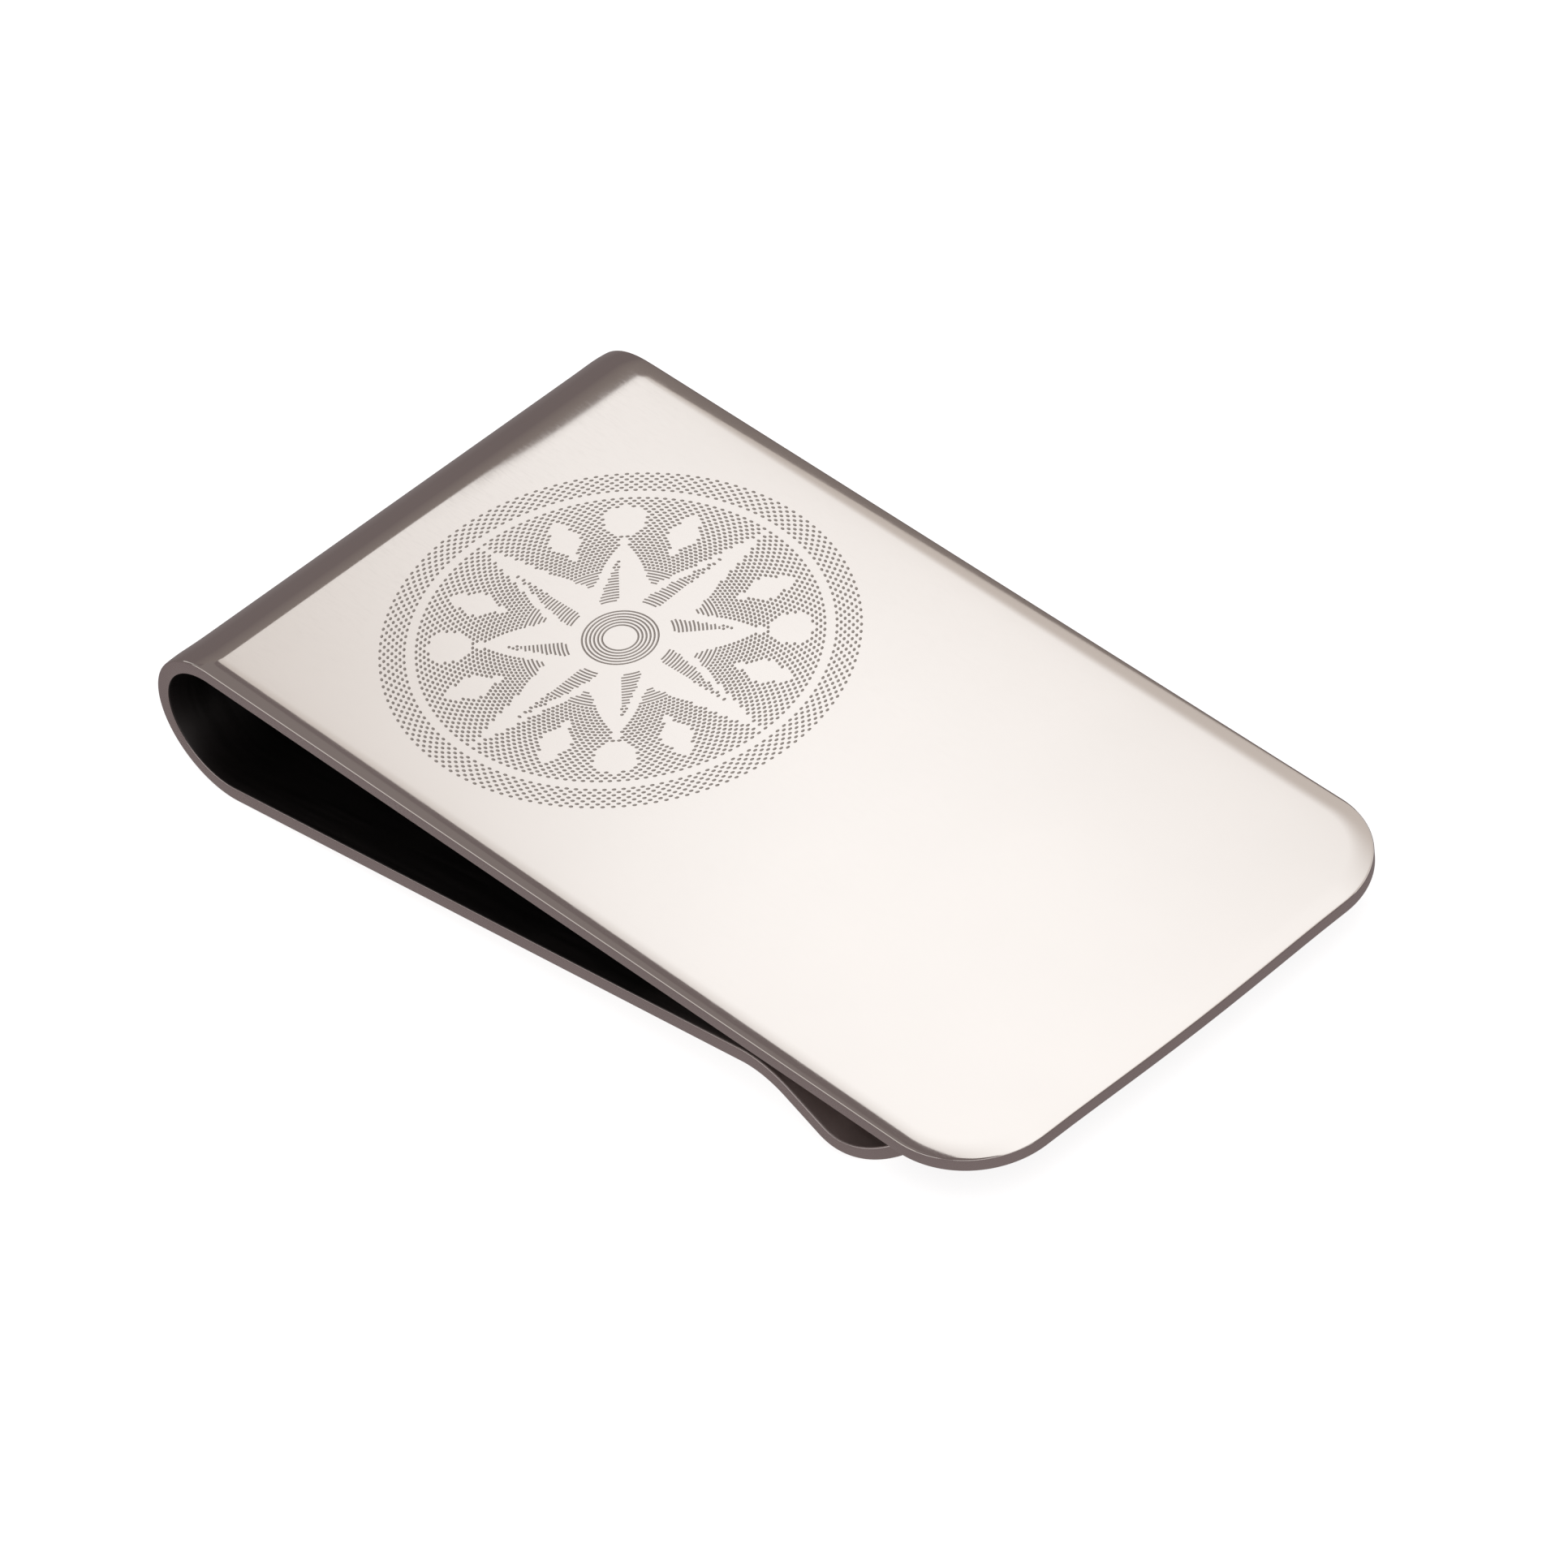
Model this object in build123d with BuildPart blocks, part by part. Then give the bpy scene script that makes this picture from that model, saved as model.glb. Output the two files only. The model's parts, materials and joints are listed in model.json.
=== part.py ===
"""Money clip: one strip of spring-hard sheet metal, folded over into a face plate and a clamp leg.

Millimetres, +Z up, as the clip lies on a table with its plate on top. The origin is under the
middle of its outline, at table height. +X runs along the clip, from the bend to the free end.

The strip's side view is drawn in plate coordinates: u along the plate from the bend's outermost
line, v square to the plate, with v = 0 on its polished outer face. Headings there are in degrees,
0 towards the plate's free end, and follow the strip from that end, round the bend, along the leg
and down the lip, so that the strip's inner face is always on the left.
"""
from math import asin, atan2, cos, degrees, hypot, radians, sin
import os

from build123d import *

# ---- driving dimensions ----
clip_length = 49.0          # bend's outermost line to the plate's free edge
strip_width = 25.4
sheet_thickness = 0.75
edge_radius = 0.18          # polished-over edges
corner_radius = 4.2         # corners at the plate's free end, seen flat
tip_corner_radius = 3.2     # corners at the curled tip, seen from above
bend_radius = 3.65          # outer radius of the bend
contact_distance = 36.4     # bend's outermost line to the crest that grips the notes
contact_gap = 0.18          # crest to plate with nothing in the clip
crest_radius = 4.65         # inner face of the crest, next to the plate
lip_slope = 26.5            # degrees that the lip falls away from the plate
lip_run = 2.5               # straight part of the lip
curl_radius = 4.3           # outer face of the curled tip, which rests on the table
curl_rise = 14.0            # degrees that the tip turns up, against the plate

# ---- the side view, worked out from them ----
inner_bend_radius = bend_radius - sheet_thickness
inner_curl_radius = curl_radius - sheet_thickness

to_bend = 180
round_bend = 270


def heading(angle):
    """Unit vector of this heading in the side view."""
    return Vector(cos(radians(angle)), sin(radians(angle)))


def left_of(angle):
    """Unit vector square to this heading, towards the strip's inner face."""
    return Vector(-sin(radians(angle)), cos(radians(angle)))


bend_centre = Vector(bend_radius, -bend_radius)
crest_centre = Vector(contact_distance, -sheet_thickness - contact_gap - crest_radius)

# The leg is the straight line that passes under the bend's circle and over the crest's circle.
centre_line = crest_centre - bend_centre
centre_distance = hypot(centre_line.X, centre_line.Y)
centre_slope = degrees(atan2(centre_line.Y, centre_line.X))
leg_offset = inner_bend_radius + crest_radius
leg_angle = centre_slope + degrees(asin(leg_offset / centre_distance))
leg_run = (centre_distance**2 - leg_offset**2) ** 0.5

leg_start = bend_centre - left_of(leg_angle) * inner_bend_radius
crest_start = leg_start + heading(leg_angle) * leg_run
crest_end = crest_centre + left_of(-lip_slope) * crest_radius
curl_start = crest_end + heading(-lip_slope) * lip_run
curl_centre = curl_start + left_of(-lip_slope) * inner_curl_radius
tip_inner = curl_centre - left_of(curl_rise) * inner_curl_radius
tip_outer = curl_centre - left_of(curl_rise) * curl_radius

# ---- how the clip lies: on the bottom of the bend and the bottom of the curled tip ----
support_line = curl_centre - bend_centre
support_span = hypot(support_line.X, support_line.Y)
support_slope = degrees(atan2(support_line.Y, support_line.X))
tilt = support_slope + degrees(asin((bend_radius - curl_radius) / support_span))
table_level = bend_centre.dot(left_of(tilt)) - bend_radius
outline_start = bend_centre.dot(heading(tilt)) - bend_radius
outline_end = Vector(clip_length, 0).dot(heading(tilt))
outline_middle = (outline_start + outline_end) / 2


def place(point):
    """Point of the side view, in the clip's own frame."""
    along = point.dot(heading(tilt)) - outline_middle
    height = point.dot(left_of(tilt)) - table_level
    return Vector(along, 0, height)


def direction(angle):
    """Heading of the side view, in the clip's own frame."""
    return Vector(cos(radians(angle - tilt)), 0, sin(radians(angle - tilt)))


def across(inner_point, angle):
    """Plane square to the strip where its inner face passes this point, half-way through it."""
    middle = inner_point - left_of(angle) * (sheet_thickness / 2)
    return Plane(origin=place(middle), x_dir=(0, -1, 0), z_dir=direction(angle))


def strip_section():
    """The strip cut square across: a flat bar with polished-over edges."""
    RectangleRounded(strip_width, sheet_thickness, edge_radius)


bend_axis = Axis(place(bend_centre), (0, -1, 0))
crest_axis = Axis(place(crest_centre), (0, 1, 0))
curl_axis = Axis(place(curl_centre), (0, -1, 0))

os.makedirs("parts", exist_ok=True)

# ---- face plate: the flat show side, from the bend to its rounded free end ----
plate_length = clip_length - bend_radius
plate_middle = Vector(bend_radius + plate_length / 2, -sheet_thickness)
plate_underside = Plane(origin=place(plate_middle), x_dir=direction(0), z_dir=direction(90))
plate_normal = Axis(place(plate_middle), direction(90))

with BuildPart() as face_plate:
    with BuildSketch(plate_underside):
        Rectangle(plate_length, strip_width)
    extrude(amount=sheet_thickness)
    upright_edges = face_plate.edges().filter_by(plate_normal)
    fillet(upright_edges.sort_by(Axis.X)[-2:], corner_radius)
    seam_edges = face_plate.faces().sort_by(Axis.X)[0].edges()
    upright_edges = face_plate.edges().filter_by(plate_normal)
    rims = [e for e in face_plate.edges() if e not in seam_edges + upright_edges]
    fillet(rims, edge_radius)
face_plate.part.label = "face_plate"

# ---- upper half of the bend, from the plate to the outermost line ----
with BuildPart() as bend_upper:
    with BuildSketch(across(Vector(bend_radius, -sheet_thickness), to_bend)):
        strip_section()
    revolve(axis=bend_axis, revolution_arc=round_bend - to_bend)
bend_upper.part.label = "bend_upper"

# ---- lower half of the bend, from the outermost line to the leg ----
with BuildPart() as bend_lower:
    with BuildSketch(across(Vector(sheet_thickness, -bend_radius), round_bend)):
        strip_section()
    revolve(axis=bend_axis, revolution_arc=360 + leg_angle - round_bend)
bend_lower.part.label = "bend_lower"

# ---- clamp leg: the straight spring arm that closes towards the plate ----
with BuildPart() as clamp_leg:
    with BuildSketch(across(leg_start, leg_angle)):
        strip_section()
    extrude(amount=leg_run)
clamp_leg.part.label = "clamp_leg"

# ---- lift lip: the crest that grips, the slope that lets notes in, and the curled tip ----
lip_back = place(crest_start).X - sheet_thickness
lip_front = max(place(tip_inner).X, place(tip_outer).X)
lip_top = place(Vector(contact_distance, 0)).Z

with BuildPart() as lift_lip:
    with BuildSketch(across(crest_start, leg_angle)):
        strip_section()
    revolve(axis=crest_axis, revolution_arc=leg_angle + lip_slope)
    with BuildSketch(across(crest_end, -lip_slope)):
        strip_section()
    extrude(amount=lip_run)
    with BuildSketch(across(curl_start, -lip_slope)):
        strip_section()
    revolve(axis=curl_axis, revolution_arc=lip_slope + curl_rise)
    # seen from above, the tip's two corners are rounded, a little tighter than the plate's
    with BuildSketch(Plane(origin=((lip_back + lip_front) / 2, 0, 0))):
        outline = Rectangle(lip_front - lip_back, strip_width)
        fillet(outline.vertices().sort_by(Axis.X)[-2:], tip_corner_radius)
    extrude(amount=lip_top, mode=Mode.INTERSECT)
lift_lip.part.label = "lift_lip"

for piece in (face_plate, bend_upper, bend_lower, clamp_leg, lift_lip):
    export_step(piece.part, f"parts/{piece.part.label}.step")

print(f"leg {leg_angle:.3f} deg from the plate, {leg_run:.3f} mm long")
print(f"plate tilted {tilt:.3f} deg, its normal is {direction(90)}")
print(f"outermost line of the bend at {place(Vector(0, -bend_radius))}")
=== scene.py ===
"""Money clip: the looks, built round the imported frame.

The clip is one folded strip of polished sheet metal. Its side view is a path of straight runs and
arcs, and every piece is that path carrying the strip's cross-section: a flat bar whose outer face
rolls over slightly towards its long edges. The face plate also carries an etched disc, a compass
rose drawn in rings of small pits.
"""
import json
from math import atan2, cos, hypot, pi, radians, sin

import bmesh
import bpy
import numpy as np
from mathutils import Matrix, Vector


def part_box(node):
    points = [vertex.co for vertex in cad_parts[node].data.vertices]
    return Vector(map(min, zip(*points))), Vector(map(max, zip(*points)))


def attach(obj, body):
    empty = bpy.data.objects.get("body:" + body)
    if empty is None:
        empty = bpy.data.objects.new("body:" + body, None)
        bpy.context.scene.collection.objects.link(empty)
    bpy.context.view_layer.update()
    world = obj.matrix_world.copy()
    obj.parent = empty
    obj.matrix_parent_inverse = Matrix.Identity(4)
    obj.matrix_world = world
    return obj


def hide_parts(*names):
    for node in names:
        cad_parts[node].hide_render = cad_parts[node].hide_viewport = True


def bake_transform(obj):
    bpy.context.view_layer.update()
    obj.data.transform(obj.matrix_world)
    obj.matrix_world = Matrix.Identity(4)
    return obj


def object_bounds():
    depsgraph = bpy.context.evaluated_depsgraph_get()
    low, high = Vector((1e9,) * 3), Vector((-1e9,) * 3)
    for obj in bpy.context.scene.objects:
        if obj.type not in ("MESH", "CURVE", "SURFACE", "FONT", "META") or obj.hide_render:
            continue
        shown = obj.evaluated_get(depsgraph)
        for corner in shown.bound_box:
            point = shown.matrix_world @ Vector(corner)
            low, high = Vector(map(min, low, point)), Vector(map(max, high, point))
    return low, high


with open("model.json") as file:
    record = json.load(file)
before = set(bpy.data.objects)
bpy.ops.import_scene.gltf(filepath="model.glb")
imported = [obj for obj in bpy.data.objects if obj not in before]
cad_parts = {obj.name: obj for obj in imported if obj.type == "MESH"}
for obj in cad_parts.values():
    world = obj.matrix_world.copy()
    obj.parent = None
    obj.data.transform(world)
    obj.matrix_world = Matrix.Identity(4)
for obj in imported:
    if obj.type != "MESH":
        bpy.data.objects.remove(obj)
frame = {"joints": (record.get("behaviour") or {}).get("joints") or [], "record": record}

CAD_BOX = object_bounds()

bl_info = {
    "name": "Money clip",
    "version": (1, 0, 0),
    "blender": (4, 5, 0),
    "location": "3D View > Sidebar > Money clip",
    "description": "Builds the polished, etched looks of a folded spring-metal money clip",
    "category": "Add Mesh",
}

MM = 0.001

# ---- where the frame puts the clip ----
HINGE = np.array(frame["joints"][0]["pos_m"])
FACE_MOUNT = next(m for m in frame["record"]["mounts"] if m["name"] == "engraving_face")
FACE_POINT = np.array(FACE_MOUNT["pos_m"])
NORMAL = np.array(FACE_MOUNT["axis"]) / np.linalg.norm(FACE_MOUNT["axis"])
ALONG = np.array([NORMAL[2], 0.0, -NORMAL[0]])
ACROSS = np.array([0.0, 1.0, 0.0])
BEND_RADIUS = float((FACE_POINT - HINGE) @ NORMAL)
PLATE_ORIGIN = HINGE + BEND_RADIUS * NORMAL
STRIP_WIDTH = float(CAD_BOX[1].y - CAD_BOX[0].y)
CLIP_LENGTH = float((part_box("face_plate")[1][0] - PLATE_ORIGIN[0]) / ALONG[0])
DISC_CENTRE = float((FACE_POINT - PLATE_ORIGIN) @ ALONG)

# the mesh's material numbers, and one for the square ends, which become polished
POLISHED, EDGE, ETCHED, INNER, CAP = range(5)


# ---- sizes and colours ----


def length(name, description, millimetres, least=0.0):
    """A length property, given in millimetres and held in metres."""
    return bpy.props.FloatProperty(
        name=name, description=description, default=millimetres * MM, min=least * MM,
        unit="LENGTH", precision=6)


def angle(name, description, in_degrees):
    """An angle property, given in degrees and held in radians."""
    return bpy.props.FloatProperty(
        name=name, description=description, default=radians(in_degrees), subtype="ANGLE")


def colour(name, description, rgb):
    """A colour property."""
    return bpy.props.FloatVectorProperty(
        name=name, description=description, default=rgb, subtype="COLOR", min=0, max=1)


class StripSizes(bpy.types.PropertyGroup):
    """The folded strip."""

    thickness: length("Sheet thickness", "Thickness of the sheet metal", 0.75, 0.3)
    corner_radius: length(
        "Corner radius", "Radius of the corners at the plate's free end", 4.2, 2.4)
    tip_corner_radius: length(
        "Tip corner radius", "Radius of the corners at the lip's curled tip", 3.2, 2.4)
    contact_distance: length(
        "Contact distance", "From the bend's outermost line to the gripping crest", 36.4, 20)
    contact_gap: length(
        "Contact gap", "Between the crest and the plate of an empty clip", 0.18)
    crest_radius: length("Crest radius", "Radius of the crest's inner face", 4.65, 1)
    lip_slope: angle("Lip slope", "Angle at which the lip falls away from the plate", 26.5)
    lip_run: length("Lip run", "Length of the lip's straight part", 2.5, 0.1)
    curl_radius: length("Curl radius", "Radius of the curled tip's outer face", 4.3, 1)
    curl_rise: angle("Curl rise", "Angle to which the tip turns up, against the plate", 14)
    crown_reach: length(
        "Crown reach", "How far in from the edge the outer face starts to fall", 2.3)
    crown_slope: angle("Crown slope", "Slope of the crown at the edge", 0.8)
    roll_reach: length("Roll reach", "Width of the polished-over roll along the edge", 1.05)
    roll_slope: angle(
        "Roll slope", "Slope that the roll reaches before the corner of the sheet", 9.5)
    leg_roll_slope: angle("Leg roll slope", "The same slope on the leg and the lip", 2)
    end_bow: length(
        "End bow", "How far the end's middle stands out beyond its corners", 0.15)
    near_flare: length("Near flare", "How far the bend's near edge flares outwards", 0.17)
    far_flare: length("Far flare", "How far the bend's far edge flares outwards", 0.07)
    sink: length(
        "Sink", "Depth to which the plate sinks before the bend, on its far side", 0.014)
    sink_run: length("Sink run", "How long before the bend the plate starts to sink", 0.95)
    arris_radius: length(
        "Arris radius", "Rounding of the sheet's four long corners", 0.09, 0.02)


class EtchingSizes(bpy.types.PropertyGroup):
    """The etched disc and its compass rose."""

    disc_radius: length("Disc radius", "Radius of the etched disc", 10.14)
    dots_per_ring: bpy.props.IntProperty(
        name="Dots per ring", description="Number of pits in every full ring",
        default=144, min=24, max=288)
    ring_pitch: length("Ring pitch", "Distance from one ring of pits to the next", 0.169)
    arc_radius: length("Arc radius", "Inside this radius the pits run together into arcs", 4.06)
    pit_length: length("Pit length", "Largest length of one pit, along its ring", 0.21)
    pit_width: length("Pit width", "Width of one pit, across its ring", 0.138)
    depth: length("Etching depth", "Depth of the pits and arcs", 0.012)
    long_point: length("Long points", "Reach of the rose's four long points", 8.1)
    short_point: length("Short points", "Reach of the rose's four short points", 5.9)
    valley: length("Valleys", "Radius where neighbouring points meet", 2.9)


class FinishColours(bpy.types.PropertyGroup):
    """Colours of the metal."""

    metal: colour("Polished metal", "Colour of the polished faces", (0.86, 0.785, 0.735))
    edge: colour("Cut edge", "Colour of the sheet's cut and tumbled edges", (0.74, 0.645, 0.625))
    etched: colour("Etched metal", "Colour of the etched pits and arcs", (0.58, 0.52, 0.475))
    # the inner face's two colours are painted shade and painted light: dark as painted shade
    # inside the fold, lighter as painted light towards the lip
    inner: colour(
        "Inner face", "Colour of the unbuffed face inside the fold", (0.10, 0.09, 0.088))
    inner_painted_light: colour(
        "Rubbed inner face", "Colour of the inner face that the notes rub bright",
        (0.58, 0.51, 0.49))


class StudioSettings(bpy.types.PropertyGroup):
    """Camera and light."""

    azimuth: angle(
        "View azimuth", "Camera's direction round the plate, from its near side", 51.07)
    elevation: angle("View elevation", "Camera's height above the plate", 43.90)
    roll: angle("Camera roll", "Turn of the camera about its own line of sight", 7.345)
    distance: length(
        "Camera distance", "From the camera to the point that it looks at", 420.35)
    target_along: length(
        "Target along", "Point looked at, from the bend's outermost line", 26.94)
    target_across: length(
        "Target across", "Point looked at, from the strip's centre line", -1.61, -1000)
    lens: bpy.props.FloatProperty(
        name="Lens", description="Focal length in millimetres, on a 36 mm sensor",
        default=236.37, min=20)
    card_height: length("Softbox height", "Height of the softbox above the plate", 300)
    softbox_slant: angle("Softbox slant", "Slant of its near side and bright line", 22)
    softbox_left: length(
        "Softbox left", "Its left side, along the plate from the bend", -278, -1000)
    softbox_right: length(
        "Softbox right", "Its right side, along the plate from the bend", 420)
    softbox_front: length("Softbox front", "Its near side over the bend's middle", 33)
    softbox_back: length("Softbox back", "Its far side, from the plate's centre line", 520)
    bright_line: length(
        "Bright line", "Where the softbox is brightest, square to the slant", 103)
    bright_falloff: length(
        "Bright falloff", "Distance over which it dims on the near side", 45)


# ---- the strip's shape ----


def settings():
    """The scene's clip settings."""
    return bpy.context.scene.money_clip


class SidePath:
    """The strip's middle surface seen from the side, as straight runs and arcs.

    Distance s is 0 where the bend leaves the plate, negative along the plate and positive round
    the bend, along the leg and down the lip. Each run has a start, a heading and a curvature
    (one over its radius, positive to the left, towards the strip's inner face)."""

    def __init__(self, size):
        half = size.thickness / 2
        inner_bend = BEND_RADIUS - size.thickness
        bend_centre = np.array([BEND_RADIUS, -BEND_RADIUS])
        crest_centre = np.array([
            size.contact_distance, -size.thickness - size.contact_gap - size.crest_radius])
        span = crest_centre - bend_centre
        distance = hypot(*span)
        offset = inner_bend + size.crest_radius
        self.leg_angle = atan2(span[1], span[0]) + np.arcsin(offset / distance)
        leg_run = (distance**2 - offset**2) ** 0.5
        middle_bend = BEND_RADIUS - half
        middle_crest = size.crest_radius - half
        middle_curl = size.curl_radius - half
        self.lengths = np.array([
            middle_bend * (pi + self.leg_angle),
            leg_run,
            middle_crest * (self.leg_angle + size.lip_slope),
            size.lip_run,
            middle_curl * (size.lip_slope + size.curl_rise),
        ])
        self.curvatures = np.array([1 / middle_bend, 0, -1 / middle_crest, 0, 1 / middle_curl])
        self.ends = np.cumsum(self.lengths)
        self.starts = self.ends - self.lengths
        turns = self.lengths * self.curvatures
        self.headings = pi + np.cumsum(turns) - turns
        chords = self.chord(self.lengths, self.headings, self.curvatures)
        self.points = np.array([BEND_RADIUS, -half]) + np.cumsum(chords, axis=0) - chords

    @staticmethod
    def chord(run, heading, curvature):
        """Straight step along an arc: run times sinc of half its turn, at the mean heading."""
        turn = run * curvature
        length = run * np.sinc(turn / (2 * pi))
        mean = heading + turn / 2
        return np.stack([length * np.cos(mean), length * np.sin(mean)], axis=-1)

    def place(self, s, across, outward):
        """Row-frame points of distances s along the strip, across it, and outward from its
        middle surface: the path's point plus outward times the unit vector to its right."""
        s, across, outward = np.broadcast_arrays(s, across, outward)
        run = np.clip(np.searchsorted(self.ends, s), 0, len(self.ends) - 1)
        on_plate = s < 0
        into = s - self.starts[run]
        curvature = np.where(on_plate, 0.0, self.curvatures[run])
        heading = self.headings[run]
        point = self.points[run] + self.chord(into, heading, curvature)
        final = heading + into * curvature
        u = point[..., 0] + outward * np.sin(final)
        v = point[..., 1] - outward * np.cos(final)
        return (PLATE_ORIGIN + u[..., None] * ALONG + across[..., None] * ACROSS
                + v[..., None] * NORMAL)


ROLL_POWER = 1.15       # how the roll's slope grows with the distance into it


def edge_profile(size, roll_slope):
    """The cross-section round one long edge: inset from the edge, height from the middle surface,
    and the finish of the face that starts at each point.

    The outer face's slope is a square law from the crown's start plus a steeper law over the
    roll, and its height is that slope summed up. Quarter circles round both arrises, and the
    inner face is flat. Faces halfway round an arris and beyond have the cut edge's finish."""
    half = size.thickness / 2
    radius = size.arris_radius
    steepest = size.crown_slope + roll_slope
    arris_inset = radius * (1 - sin(steepest))
    slow = np.linspace(size.crown_reach, size.roll_reach, 10, endpoint=False)
    fast = np.linspace(size.roll_reach, arris_inset, 22)
    inset = np.concatenate([slow, fast])
    crown = size.crown_slope * ((size.crown_reach - inset) / size.crown_reach) ** 2
    into_roll = np.clip((size.roll_reach - inset) / (size.roll_reach - arris_inset), 0, 1)
    slope = np.tan(crown + roll_slope * into_roll**ROLL_POWER)
    steps = (slope[1:] + slope[:-1]) / 2 * np.diff(inset)
    height = half + np.concatenate([[0.0], np.cumsum(steps)])
    top_turn = np.linspace(steepest, pi / 2, 8)[1:]
    top_inset = radius * (1 - np.sin(top_turn))
    top_height = height[-1] - radius * (cos(steepest) - np.cos(top_turn))
    low_turn = np.linspace(pi / 2, pi, 7)
    low_inset = radius * (1 - np.sin(low_turn))
    low_height = -half + radius * (1 + np.cos(low_turn))
    inner_inset = size.crown_reach / 2
    all_inset = np.concatenate([inset, top_inset, low_inset, [inner_inset]])
    all_height = np.concatenate([height, top_height, low_height, [-half]])
    finish = np.full(len(all_inset) - 1, POLISHED)
    first_edge = len(inset) + len(top_inset) // 2
    last_edge = len(inset) + len(top_inset) + len(low_inset) // 2
    finish[first_edge:last_edge] = EDGE
    finish[last_edge:] = INNER
    return all_inset, all_height, finish


class Shell:
    """A closed surface gathered from grids of points that share their borders by number."""

    def __init__(self):
        self.blocks, self.faces, self.finishes, self.count = [], [], [], 0

    def add(self, points):
        """Keeps these points and returns their numbers, in the same layout."""
        layout = points.shape[:-1]
        numbers = self.count + np.arange(int(np.prod(layout))).reshape(layout)
        self.blocks.append(points.reshape(-1, 3))
        self.count += numbers.size
        return numbers

    def polygons(self, corners, finish):
        """Faces given by their corner numbers, one row each, all of one finish or one each."""
        corners = corners.reshape(-1, corners.shape[-1])
        self.faces.append(corners)
        self.finishes.append(np.broadcast_to(finish, len(corners)))

    def grid(self, numbers, finish):
        """Quads between the rows and columns of a grid. finish may vary by column."""
        quads = np.stack([
            numbers[:-1, :-1], numbers[1:, :-1], numbers[1:, 1:], numbers[:-1, 1:]], axis=-1)
        self.polygons(quads, np.broadcast_to(finish, quads.shape[:2]).ravel())

    def fan(self, ring, finish):
        """Triangles from the ring's first point."""
        hub = np.broadcast_to(ring[0], len(ring) - 2)
        self.triangles(hub, ring[1:-1], ring[2:], finish)

    def triangles(self, first, second, third, finish):
        """Triangles whose three corners come from three lists of point numbers."""
        self.polygons(np.stack([first, second, third], axis=-1), finish)

    def build(self, name, materials):
        """A smooth-shaded object with its faces outwards, and hard edges round caps and pits."""
        counts = np.concatenate([np.full(len(f), f.shape[1]) for f in self.faces])
        loops = np.concatenate([f.ravel() for f in self.faces])
        finish = np.concatenate(self.finishes).astype(np.int32)
        mesh = bpy.data.meshes.new(name)
        mesh.vertices.add(self.count)
        mesh.vertices.foreach_set("co", np.concatenate(self.blocks).astype(np.float32).ravel())
        mesh.loops.add(len(loops))
        mesh.loops.foreach_set("vertex_index", loops.astype(np.int32))
        mesh.polygons.add(len(counts))
        mesh.polygons.foreach_set("loop_start", (np.cumsum(counts) - counts).astype(np.int32))
        mesh.polygons.foreach_set("material_index", finish)
        mesh.update(calc_edges=True)
        work = bmesh.new()
        work.from_mesh(mesh)
        bmesh.ops.recalc_face_normals(work, faces=work.faces)
        if work.calc_volume(signed=True) < 0:
            bmesh.ops.reverse_faces(work, faces=work.faces)
        if any(not e.is_manifold for e in work.edges):
            raise RuntimeError(f"{name} is not a closed shell")
        work.to_mesh(mesh)
        work.free()
        mark_hard_edges(mesh)
        for material in materials:
            mesh.materials.append(material)
        return new_object(name, mesh)


def new_object(name, data):
    """An object by that name, put into the scene."""
    thing = bpy.data.objects.new(name, data)
    bpy.context.scene.collection.objects.link(thing)
    return thing


def smoothstep(share):
    """Goes from 0 to 1 as share does, and stays level at both ends: 3 share^2 - 2 share^3."""
    return share**2 * (3 - 2 * share)


def read_numbers(items, name):
    """One whole-number property of all of a mesh's faces, edges or corners."""
    values = np.empty(len(items), np.int32)
    items.foreach_get(name, values)
    return values


def mark_hard_edges(mesh):
    """Sharp edges wherever a cap or a pit meets another finish. Caps then become polished."""
    finish = read_numbers(mesh.polygons, "material_index")
    loop_edge = read_numbers(mesh.loops, "edge_index")
    loop_finish = np.repeat(finish, read_numbers(mesh.polygons, "loop_total"))
    lowest = np.full(len(mesh.edges), CAP + 1, np.int32)
    highest = np.full(len(mesh.edges), -1, np.int32)
    np.minimum.at(lowest, loop_edge, loop_finish)
    np.maximum.at(highest, loop_edge, loop_finish)
    hard = mesh.attributes.new("sharp_edge", "BOOLEAN", "EDGE")
    hard.data.foreach_set("value", (lowest != highest) & np.isin(highest, (ETCHED, CAP)))
    mesh.polygons.foreach_set("use_smooth", np.ones(len(mesh.polygons), bool))
    mesh.polygons.foreach_set("material_index", np.where(finish == CAP, POLISHED, finish))
    mesh.update()


ROWS_ACROSS = 12        # flat quads across the strip between its rolled edges


def cap_section(shell, near, far, outer, inner):
    """Closes the strip square across: quads between its outer and inner rows, and a fan in the
    rounded section at each long edge."""
    outer_row = np.concatenate([[near[0]], outer, [far[0]]])
    inner_row = np.concatenate([[near[-1]], inner, [far[-1]]])
    shell.grid(np.stack([outer_row, inner_row]), CAP)
    shell.fan(near[::-1], CAP)
    shell.fan(far[::-1], CAP)


def flat_row(half_width, inset, columns=ROWS_ACROSS):
    """Even places across the flat between two insets, without its two ends."""
    reach = half_width - inset
    return np.linspace(-reach, reach, columns + 1)[1:-1]


SINK_FROM, SINK_OVER = -0.2, 0.95       # where the sink starts and grows, in half widths
FADE = 1.1                              # how fast it fades round the bend


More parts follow.
